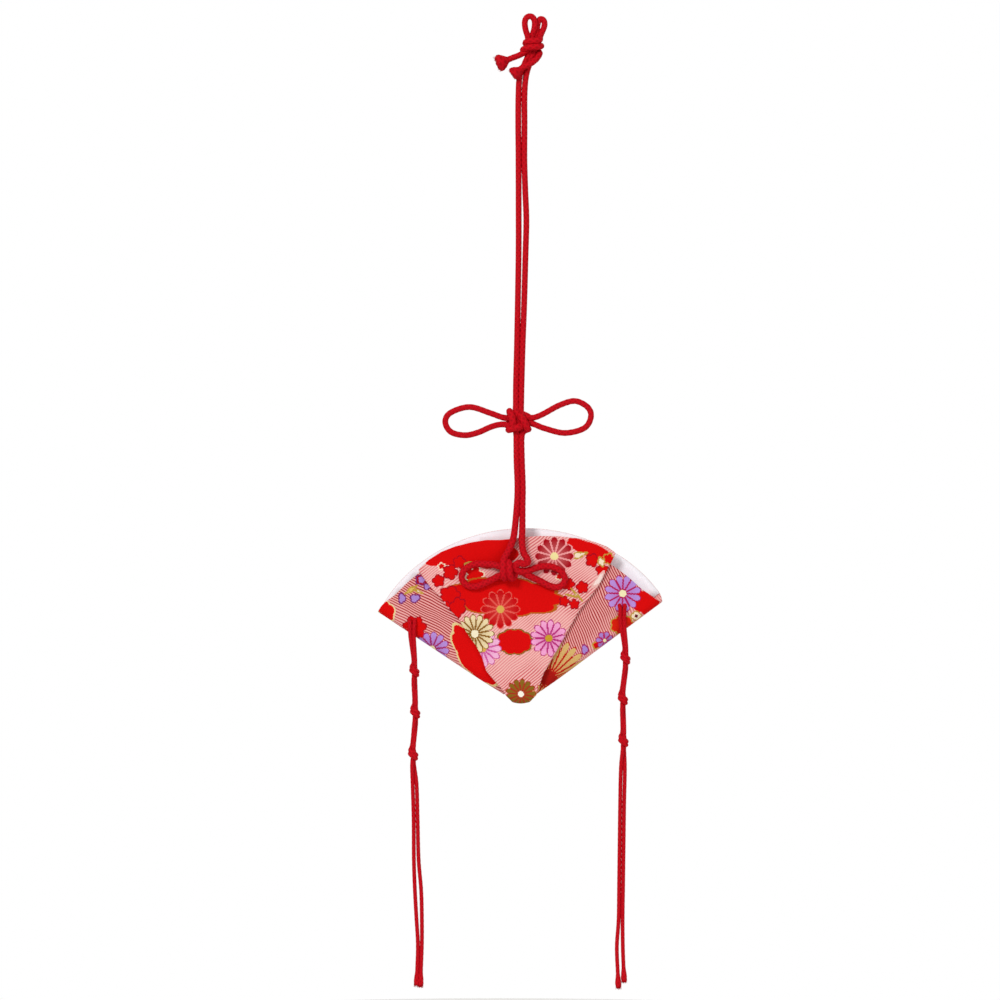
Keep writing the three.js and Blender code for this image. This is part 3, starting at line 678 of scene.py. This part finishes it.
sector = addNode(rosette, "Math", "MULTIPLY", {0: angle, 1: given["Petals"]})
petal = addNode(rosette, "Math", "COSINE", {0: sector})
reach = addNode(rosette, "Math", "DIVIDE", {0: away, 1: given["Radius"]})
bow = addNode(rosette, "Math", "MULTIPLY", {0: sector, 1: 0.5})
bow = addNode(rosette, "Math", "COSINE", {0: bow})
bow = addNode(rosette, "Math", "ABSOLUTE", {0: bow})
bow = addNode(rosette, "Math", "POWER", {0: bow, 1: 0.6})
rim = addNode(rosette, "Math", "MULTIPLY_ADD", {0: bow, 1: 0.3, 2: 0.7})
inside = addNode(rosette, "Math", "LESS_THAN", {0: reach, 1: rim})
back = addNode(rosette, "Math", "MULTIPLY", {0: petal, 1: -1.0})
swing = addNode(rosette, "Math", "ARCCOSINE", {0: back})
share = addNode(rosette, "Math", "DIVIDE", {0: swing, 1: given["Petals"]})
gap = addNode(rosette, "Math", "MULTIPLY", {0: share, 1: away})
ruled = addNode(rosette, "Math", "LESS_THAN", {0: gap, 1: 0.34})
border = addNode(rosette, "Math", "DIVIDE", {0: 0.45, 1: given["Radius"]})
inner = addNode(rosette, "Math", "SUBTRACT", {0: rim, 1: border})
edge = addNode(rosette, "Math", "GREATER_THAN", {0: reach, 1: inner})
drawn = addNode(rosette, "Math", "MAXIMUM", {0: ruled, 1: edge})
heart = addNode(rosette, "Math", "LESS_THAN", {0: reach, 1: 0.19})
base = addNode(rosette, "MapRange", {}, {"Value": reach, "From Min": 0.85, "From Max": 0.2, "To Max": 0.3})
ink = addNode(rosette, "Mix", {"data_type": "RGBA"}, {0: base, 6: given["Petal"], 7: given["Line"]})
ink = addNode(rosette, "Mix", {"data_type": "RGBA"}, {0: drawn, 6: ink, 7: given["Line"]})
ink = addNode(rosette, "Mix", {"data_type": "RGBA"}, {0: heart, 6: ink, 7: given["Heart"]})
ink = addNode(rosette, "Mix", {"data_type": "RGBA"}, {0: inside, 6: given["Under"], 7: ink})
passed = addNode(rosette, "VectorMath", "MULTIPLY_ADD",
                 {0: inside, 1: (1e-7,) * 3, 2: given["Cloth"]})  # motifs are worked out in turn
addNode(rosette, "NodeGroupOutput", {}, {"Colour": ink, "Cloth": passed})

cloud = bpy.data.node_groups.new("cloud", "ShaderNodeTree")  # oval with a scalloped, outlined edge
for label, kind in (("Cloth", "Vector"), ("Under", "Color"), ("Centre", "Vector"), ("Size", "Vector"),
                    ("Turn", "Float"), ("Lobes", "Float"), ("Wobble", "Float"), ("Edge", "Float"),
                    ("Fill", "Color"), ("Line", "Color")):
    cloud.interface.new_socket(label, in_out="INPUT", socket_type=f"NodeSocket{kind}")
cloud.interface.new_socket("Colour", in_out="OUTPUT", socket_type="NodeSocketColor")
cloud.interface.new_socket("Cloth", in_out="OUTPUT", socket_type="NodeSocketVector")
given = addNode(cloud, "NodeGroupInput").outputs
offset = addNode(cloud, "VectorMath", "SUBTRACT", {0: given["Cloth"], 1: given["Centre"]})
level = addNode(cloud, "VectorRotate", {"rotation_type": "Z_AXIS", "invert": True},
                {"Vector": offset, "Angle": given["Turn"]})
scaled = addNode(cloud, "VectorMath", "DIVIDE", {0: level, 1: given["Size"]})
away = addNode(cloud, "VectorMath", "LENGTH", {0: scaled})
spot = addNode(cloud, "SeparateXYZ", {}, {0: scaled})
angle = addNode(cloud, "Math", "ARCTAN2", {0: spot.outputs[1], 1: spot})
halfLobes = addNode(cloud, "Math", "MULTIPLY", {0: given["Lobes"], 1: 0.5})
sector = addNode(cloud, "Math", "MULTIPLY", {0: angle, 1: halfLobes})
swell = addNode(cloud, "Math", "COSINE", {0: sector})
swell = addNode(cloud, "Math", "ABSOLUTE", {0: swell})
lobe = addNode(cloud, "Math", "MULTIPLY_ADD", {0: swell, 1: 2.0, 2: -1.0})
rim = addNode(cloud, "Math", "MULTIPLY_ADD", {0: lobe, 1: given["Wobble"], 2: 1.0})
inside = addNode(cloud, "Math", "LESS_THAN", {0: away, 1: rim})
inner = addNode(cloud, "Math", "SUBTRACT", {0: rim, 1: given["Edge"]})
edge = addNode(cloud, "Math", "GREATER_THAN", {0: away, 1: inner})
ink = addNode(cloud, "Mix", {"data_type": "RGBA"}, {0: edge, 6: given["Fill"], 7: given["Line"]})
ink = addNode(cloud, "Mix", {"data_type": "RGBA"}, {0: inside, 6: given["Under"], 7: ink})
passed = addNode(cloud, "VectorMath", "MULTIPLY_ADD",
                 {0: inside, 1: (1e-7,) * 3, 2: given["Cloth"]})  # motifs are worked out in turn
addNode(cloud, "NodeGroupOutput", {}, {"Colour": ink, "Cloth": passed})

clouds = [  # panel, place as folded, half sizes, turn in degrees, lobes, depth of lobes, fill, edge
    ("flap", (-21.2, 62.8), (18, 4.8), 13, 7, 0.05, red, red),
    ("flap", (-10.8, 61.4), (9, 6), 0, 6, 0.08, red, red),
    ("flap", (-33.2, 50.6), (2.4, 2.4), 30, 5, 0.15, red, darkRed),
    ("flap", (-32, 56.4), (1.5, 1.5), 30, 5, 0.15, red, cream),
    ("flap", (15.2, 52.4), (1.6, 1.6), 0, 5, 0.15, red, cream),
    ("flap", (27.6, 63), (10, 2.8), -22, 5, 0.05, red, red),
    ("flap", (22.6, 60.8), (3.6, 1.2), 15, 4, 0.2, cream, gold),
    ("flap", (28.4, 58.8), (2.6, 2.6), 0, 5, 0.15, red, darkRed),
    ("flap", (32.4, 54.8), (2.5, 2.5), 20, 5, 0.15, red, darkRed),
    ("flap", (35, 59.4), (2.3, 2.3), 0, 5, 0.15, red, gold),
    ("flap", (32, 58.2), (1.4, 2), 20, 4, 0.15, cream, gold),
    ("flap", (31, 51), (1.3, 4), -36, 3, 0.15, "#f6dcd4", "#eab4ac"),
    ("flap", (-29.4, 41.4), (1.7, 2.2), 0, 3, 0.15, red, "#f6b8c0"),
    ("flap", (-24.8, 58), (2.5, 2.5), 10, 5, 0.15, red, darkRed),
    ("flap", (-28.4, 54), (2.9, 2.9), 0, 5, 0.15, red, darkRed),
    ("flap", (-18.8, 53.2), (3.6, 3), 0, 5, 0.2, red, cream),
    ("flap", (-20.6, 57.6), (2.6, 0.7), 10, 3, 0.1, cream, gold),
    ("flap", (-6.4, 44.2), (23.6, 7.6), -3, 9, 0.06, red, "#b8601a"),
    ("flap", (-28.6, 45), (4, 3.4), 0, 5, 0.15, red, darkRed),
    ("flap", (-25.6, 39.8), (3.2, 4.2), -20, 6, 0.12, red, darkRed),
    ("flap", (-2.8, 26.2), (7.6, 5.2), 0, 10, 0.045, red, "#8a6420"),
    ("flap", (18.8, 49.2), (2.5, 2.3), 0, 5, 0.15, red, darkRed),
    ("flap", (24.4, 48), (2.4, 2.4), 30, 5, 0.15, red, darkRed),
    ("flap", (17.2, 42.4), (2, 2), 0, 5, 0.15, red, darkRed),
    ("flap", (21.2, 41.2), (2, 2), 20, 5, 0.15, red, darkRed),
    ("flap", (22.2, 45), (3.6, 0.55), -48, 2, 0.05, cream, gold),
    ("flap", (20, 44.6), (2.6, 0.5), -14, 2, 0.05, cream, gold),
    ("left", (-54, 38.2), (3.6, 4.6), 20, 5, 0.08, red, "#e8d49c"),
    ("left", (-47.6, 43.6), (1.6, 2.2), 0, 3, 0.12, lavender, "#7c2a6a"),
    ("left", (-42.4, 43.6), (2.2, 1.7), 20, 3, 0.12, lavender, "#7c2a6a"),
    ("left", (-40, 51), (2.2, 2.2), 0, 5, 0.15, darkRed, "#7c2a6a"),
    ("left", (-39.8, 51), (1.2, 1.2), 0, 5, 0.1, lavender, lavender),
    ("left", (-36, 49.4), (2.3, 2.3), 0, 5, 0.15, red, darkRed),
    ("left", (-37.6, 48.2), (1.5, 1.4), 0, 3, 0.1, lavender, "#7c2a6a"),
    ("left", (-41, 46.4), (2, 0.7), -25, 3, 0.15, cream, gold),
    ("left", (-44, 47), (2.8, 0.9), 35, 4, 0.2, "#dcbc62", gold),
    ("left", (-42.6, 31.6), (4.5, 4.6), 10, 7, 0.13, red, darkRed),
    ("left", (-18.6, 20.4), (15, 6), -58, 8, 0.05, red, "#e3c98c"),
    ("right", (50, 41), (6.4, 4.2), -30, 6, 0.1, red, red),
    ("right", (40.4, 32.6), (4.8, 4), 0, 7, 0.08, "#d81c08", gold),
    ("right", (46, 36.2), (2.3, 1.9), 0, 4, 0.1, cream, gold),
    ("right", (46, 36.2), (0.7, 0.7), 0, 3, 0, "#6a1020", "#6a1020"),
    ("right", (25.4, 22.8), (1.5, 2.1), 0, 3, 0.12, lavender, "#a02868"),
    ("right", (30.2, 24.6), (2, 1.5), 30, 3, 0.12, red, gold),
    ("back", (-14, 58), (17, 5), 12, 7, 0.06, red, "#c9781e"),
    ("back", (30, 46), (11, 6), -30, 8, 0.08, red, "#c9781e"),
    ("back", (-34, 36), (7, 5), 40, 6, 0.1, red, gold),
    ("back", (6, 14), (5, 4), 0, 5, 0.15, red, cream),
]
rosettes = [  # panel, place as folded, radius, petals, petal, line and heart colours
    ("right", (10.4, 11.4), 17, 30, "#d6b06c", "#b81a10", "#a8140e"),
    ("flap", (-15.4, 23.4), 7.6, 13, "#f2b4d6", "#c9589a", "#d8a850"),
    ("flap", (13.2, 60.4), 8.2, 12, darkRed, "#ee9c9c", "#f2e3a0"),
    ("flap", (-8.4, 39.2), 8, 12, "#c4040c", "#e0584e", "#d8a850"),
    ("flap", (-18.6, 29.4), 8, 15, "#ecd8aa", "#8a5c1a", "#f4e8c8"),
    ("flap", (11, 27.6), 7.6, 13, "#f3a4d0", "#b62c78", "#c79a2a"),
    ("flap", (-0.2, 5.2), 6.3, 13, "#86661c", "#a8341c", "#fbf6e4"),
    ("left", (-35.6, 23.2), 7.2, 12, "#b48cd6", "#a02868", "#f0e0b0"),
    ("right", (40.6, 45.2), 7.6, 12, "#b88fda", "#b0185a", "#f2e8b8"),
    ("right", (33.4, 26.4), 3.8, 7, lavender, "#b0185a", "#f2e8b8"),
    ("back", (2, 38), 9, 13, "#c4040c", "#f0b0a8", "#d8a850"),
    ("back", (-22, 46), 7.4, 12, "#b48cd6", "#a02868", "#f0e0b0"),
    ("back", (21, 30), 8, 13, "#f3a4d0", "#b62c78", "#c79a2a"),
    ("back", (-12, 22), 6.6, 12, "#98761e", "#efe0b4", "#fbf6e4"),
]


def onCloth(panel, front):
    if panel == "back":
        return np.array(front, dtype=float)
    return flapFlat(front) if panel == "flap" else wingFlat(panel, front)


cloth = addNode(tree, "UVMap", {"uv_map": "cloth"}).outputs[0]
woven = addNode(tree, "VectorMath", "SNAP", {0: cloth, 1: (weave["step"],) * 3}).outputs[0]
turn = weave["stripeTurn"]
across = addNode(tree, "VectorMath", "DOT_PRODUCT", {0: cloth, 1: (-sin(turn), cos(turn), 0)})
drift = addNode(tree, "TexNoise", {}, {"Vector": cloth, "Scale": 0.09, "Detail": 1.0})
wander = addNode(tree, "Math", "MULTIPLY_ADD", {0: drift, 1: 2.4, 2: across})
phase = addNode(tree, "Math", "MULTIPLY", {0: wander, 1: 2 * pi / weave["stripe"]})
stripe = addNode(tree, "Math", "SINE", {0: phase})
band = addNode(tree, "MapRange", {}, {"Value": stripe, "From Min": -0.7, "From Max": 0.5})
patches = addNode(tree, "TexNoise", {}, {"Vector": cloth, "Scale": 0.055, "Detail": 0.0})
deep = addNode(tree, "MapRange", {}, {"Value": patches, "From Min": 0.5, "From Max": 0.62})
spot = addNode(tree, "SeparateXYZ", {}, {0: cloth})
wide = addNode(tree, "Math", "ABSOLUTE", {0: spot})
slope = addNode(tree, "Math", "DIVIDE", {0: spot.outputs[1], 1: wide})
# wing ground darker towards the flap's edges: partly the cloth's own darker stripes there, partly painted
# shade of the flap over the wings
wingStripesAndShade = addNode(tree, "Math", "COMPARE", {0: slope, 1: 0.1, 2: 0.62})
inner = addNode(tree, "MapRange", {}, {"Value": slope, "From Min": 0.66, "From Max": 0.42})
wingStripesAndShade = addNode(tree, "Math", "MULTIPLY", {0: wingStripesAndShade, 1: inner})
dark = addNode(tree, "Mix", {"data_type": "RGBA"},
               {0: deep, 6: hexColour("#e38a8c"), 7: hexColour("#d26068")})
# a01822 is the wings' dark stripe deepened with painted shade of the flap
dark = addNode(tree, "Mix", {"data_type": "RGBA"}, {0: wingStripesAndShade, 6: dark, 7: hexColour("#a01822")})
pale = addNode(tree, "Mix", {"data_type": "RGBA"},
               {0: wingStripesAndShade, 6: hexColour("#f3bcb4"), 7: hexColour("#efa9a4")})
ground = addNode(tree, "Mix", {"data_type": "RGBA"}, {0: band, 6: dark, 7: pale})
colour = ground.outputs[2]
for panel, place, half, degrees, lobes, wobble, fill, line in clouds:
    centre = onCloth(panel, place)
    ahead = onCloth(panel, (place[0] + cos(radians(degrees)), place[1] + sin(radians(degrees)))) - centre
    motif = addNode(tree, "Group", {"node_tree": cloud}, {
        "Cloth": woven, "Under": colour, "Centre": (*centre, 0), "Size": (*half, 1),
        "Turn": atan2(ahead[1], ahead[0]), "Lobes": lobes, "Wobble": wobble, "Edge": 0.5 / min(half),
        "Fill": hexColour(fill), "Line": hexColour(line)})
    colour, woven = motif.outputs
for panel, place, radius, petals, petal, line, heart in rosettes:
    motif = addNode(tree, "Group", {"node_tree": rosette}, {
        "Cloth": woven, "Under": colour, "Centre": (*onCloth(panel, place), 0), "Radius": radius,
        "Petals": petals, "Petal": hexColour(petal), "Line": hexColour(line), "Heart": hexColour(heart)})
    colour, woven = motif.outputs
threads = addNode(tree, "VectorMath", "SCALE", {0: cloth, "Scale": 2 * pi / weave["thread"]})
threads = addNode(tree, "VectorMath", "SINE", {0: threads})
threads = addNode(tree, "SeparateXYZ", {}, {0: threads})
plait = addNode(tree, "Math", "MULTIPLY", {0: threads, 1: threads.outputs[1]})
ribs = addNode(tree, "Math", "MULTIPLY_ADD", {0: stripe, 1: 0.5, 2: plait})
bump = addNode(tree, "Bump", {}, {"Height": ribs, "Strength": 0.3, "Distance": 0.08 * mm})
shader = tree.nodes["Principled BSDF"]
tree.links.new(colour, shader.inputs["Base Color"])
tree.links.new(bump.outputs[0], shader.inputs["Normal"])
shader.inputs["Roughness"].default_value = 0.7
shader.inputs["Specular IOR Level"].default_value = 0.06
print("brocade ready:", len(clouds), "clouds and", len(rosettes), "flowers")

cutLine = flatOutline()
flat, faces = cutSheet(cutLine, wrap["grid"])
folded = foldSheet(flat)
brocadeWrap = meshPiece("brocade_cloth", folded, faces, brocade, flat)
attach(brocadeWrap, "root")
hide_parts("brocade_wrap")
smooth = brocadeWrap.modifiers.new("smooth", "SUBSURF")
smooth.levels = smooth.render_levels = 1
thick = brocadeWrap.modifiers.new("thick", "SOLIDIFY")
thick.thickness = wrap["thickness"] * mm
thick.offset = 0

# Lining: a pale fan stuck to the inside of the back panel
lining = {"depth": 7.55, "thickness": 0.3, "edge": 0.1, "side": 2.8, "low": 9.0}
liningArc = [fanPoint(arcRadius(a) - lining["edge"], a)
             for a in np.linspace(wrap["right"] - 0.045, 0.045 - wrap["left"], 120)]
liningLow = [edges[side]["along"] * lining["low"] - edges[side]["out"] * lining["side"]
             for side in ("left", "right")]
liningCut = [np.array(p) for p in liningArc]
for a, b in ((liningArc[-1], liningLow[0]), (liningLow[0], liningLow[1]), (liningLow[1], liningArc[0])):
    steps = int(np.linalg.norm(b - a) / 1.2) + 1
    liningCut += [a + (b - a) * k / steps for k in range(1 if a is liningArc[-1] else 0, steps)]
liningCut = np.array(liningCut)
liningFlat, liningFaces = cutSheet(liningCut, 2.4)
liningPoints = [(x + wrap["apex"][0], lining["depth"], z + wrap["apex"][1]) for x, z in liningFlat]
lilac = bpy.data.materials.new("lilacLiningCloth")  # fine plain cotton, nearly white with a lilac cast
lilac.use_nodes = True
lilacShader = lilac.node_tree.nodes["Principled BSDF"]
lilacShader.inputs["Base Color"].default_value = hexColour("#fffaff")
lilacShader.inputs["Roughness"].default_value = 0.9
lilacShader.inputs["Specular IOR Level"].default_value = 0.15
liningCloth = meshPiece("lining_cloth", liningPoints, liningFaces, lilac, liningFlat)
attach(liningCloth, "root")
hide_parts("lilac_lining")
liningThick = liningCloth.modifiers.new("thick", "SOLIDIFY")
liningThick.thickness = lining["thickness"] * mm
liningThick.offset = 0
print("lining ready")

# Incense packet: a paper pillow of scented powder, swollen by a short cloth run
packet = {
    "slim": 0.3,        # mm taken off each face first, as the cloth run swells it
    "voxel": 0.9,
    "pressure": 4.0,
    "frames": 20,
    "most": 0.35,       # mm that a point may move
}
bpy.ops.object.select_all(action="DESELECT")
pillow = bpy.data.objects.new("incense_pillow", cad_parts["incense_packet"].data.copy())
scene.collection.objects.link(pillow)
pillow.select_set(True)
bpy.context.view_layer.objects.active = pillow
bpy.ops.object.mode_set(mode="EDIT")
bpy.ops.mesh.select_all(action="SELECT")
bpy.ops.mesh.remove_doubles(threshold=0.01 * mm)
bpy.ops.object.mode_set(mode="OBJECT")
pillow.data.remesh_voxel_size = packet["voxel"] * mm
bpy.ops.object.voxel_remesh()
for vertex, normal in zip(pillow.data.vertices, [v.normal.copy() for v in pillow.data.vertices]):
    vertex.co -= normal * packet["slim"] * mm
resting = [v.co.copy() for v in pillow.data.vertices]
swell = pillow.modifiers.new("swell", "CLOTH")
swell.settings.use_pressure = True
swell.settings.uniform_pressure_force = packet["pressure"]
swell.settings.effector_weights.gravity = 0
for number in range(1, packet["frames"] + 1):
    scene.frame_set(number)
bpy.ops.object.modifier_apply(modifier="swell")
for vertex, rest in zip(pillow.data.vertices, resting):
    moved = vertex.co - rest
    vertex.co = rest + moved * min(1, packet["most"] * mm / max(moved.length, 1e-9))
paper = bpy.data.materials.new("packetPaper")  # soft handmade paper: warm white, mottled with long fibres
paper.use_nodes = True
paperTree = paper.node_tree
paperPlace = addNode(paperTree, "TexCoord").outputs["Object"]
pulp = addNode(paperTree, "TexNoise", {}, {"Vector": paperPlace, "Scale": 400.0, "Detail": 4.0})
paperColour = addNode(paperTree, "Mix", {"data_type": "RGBA"},
                      {0: pulp, 6: hexColour("#f4ead6"), 7: hexColour("#fffaf0")})
paperBump = addNode(paperTree, "Bump", {}, {"Height": pulp, "Strength": 0.2, "Distance": 0.1 * mm})
paperShader = paperTree.nodes["Principled BSDF"]
paperTree.links.new(paperColour.outputs[2], paperShader.inputs["Base Color"])
paperTree.links.new(paperBump.outputs[0], paperShader.inputs["Normal"])
paperShader.inputs["Roughness"].default_value = 0.9
pillow.data.materials.clear()
pillow.data.materials.append(paper)
pillow.data.shade_smooth()
puffed = pillow.modifiers.new("round", "SUBSURF")
puffed.levels = puffed.render_levels = 1
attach(pillow, "root")
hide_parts("incense_packet")
bpy.ops.object.select_all(action="DESELECT")
print("incense packet ready:", len(pillow.data.vertices), "points")
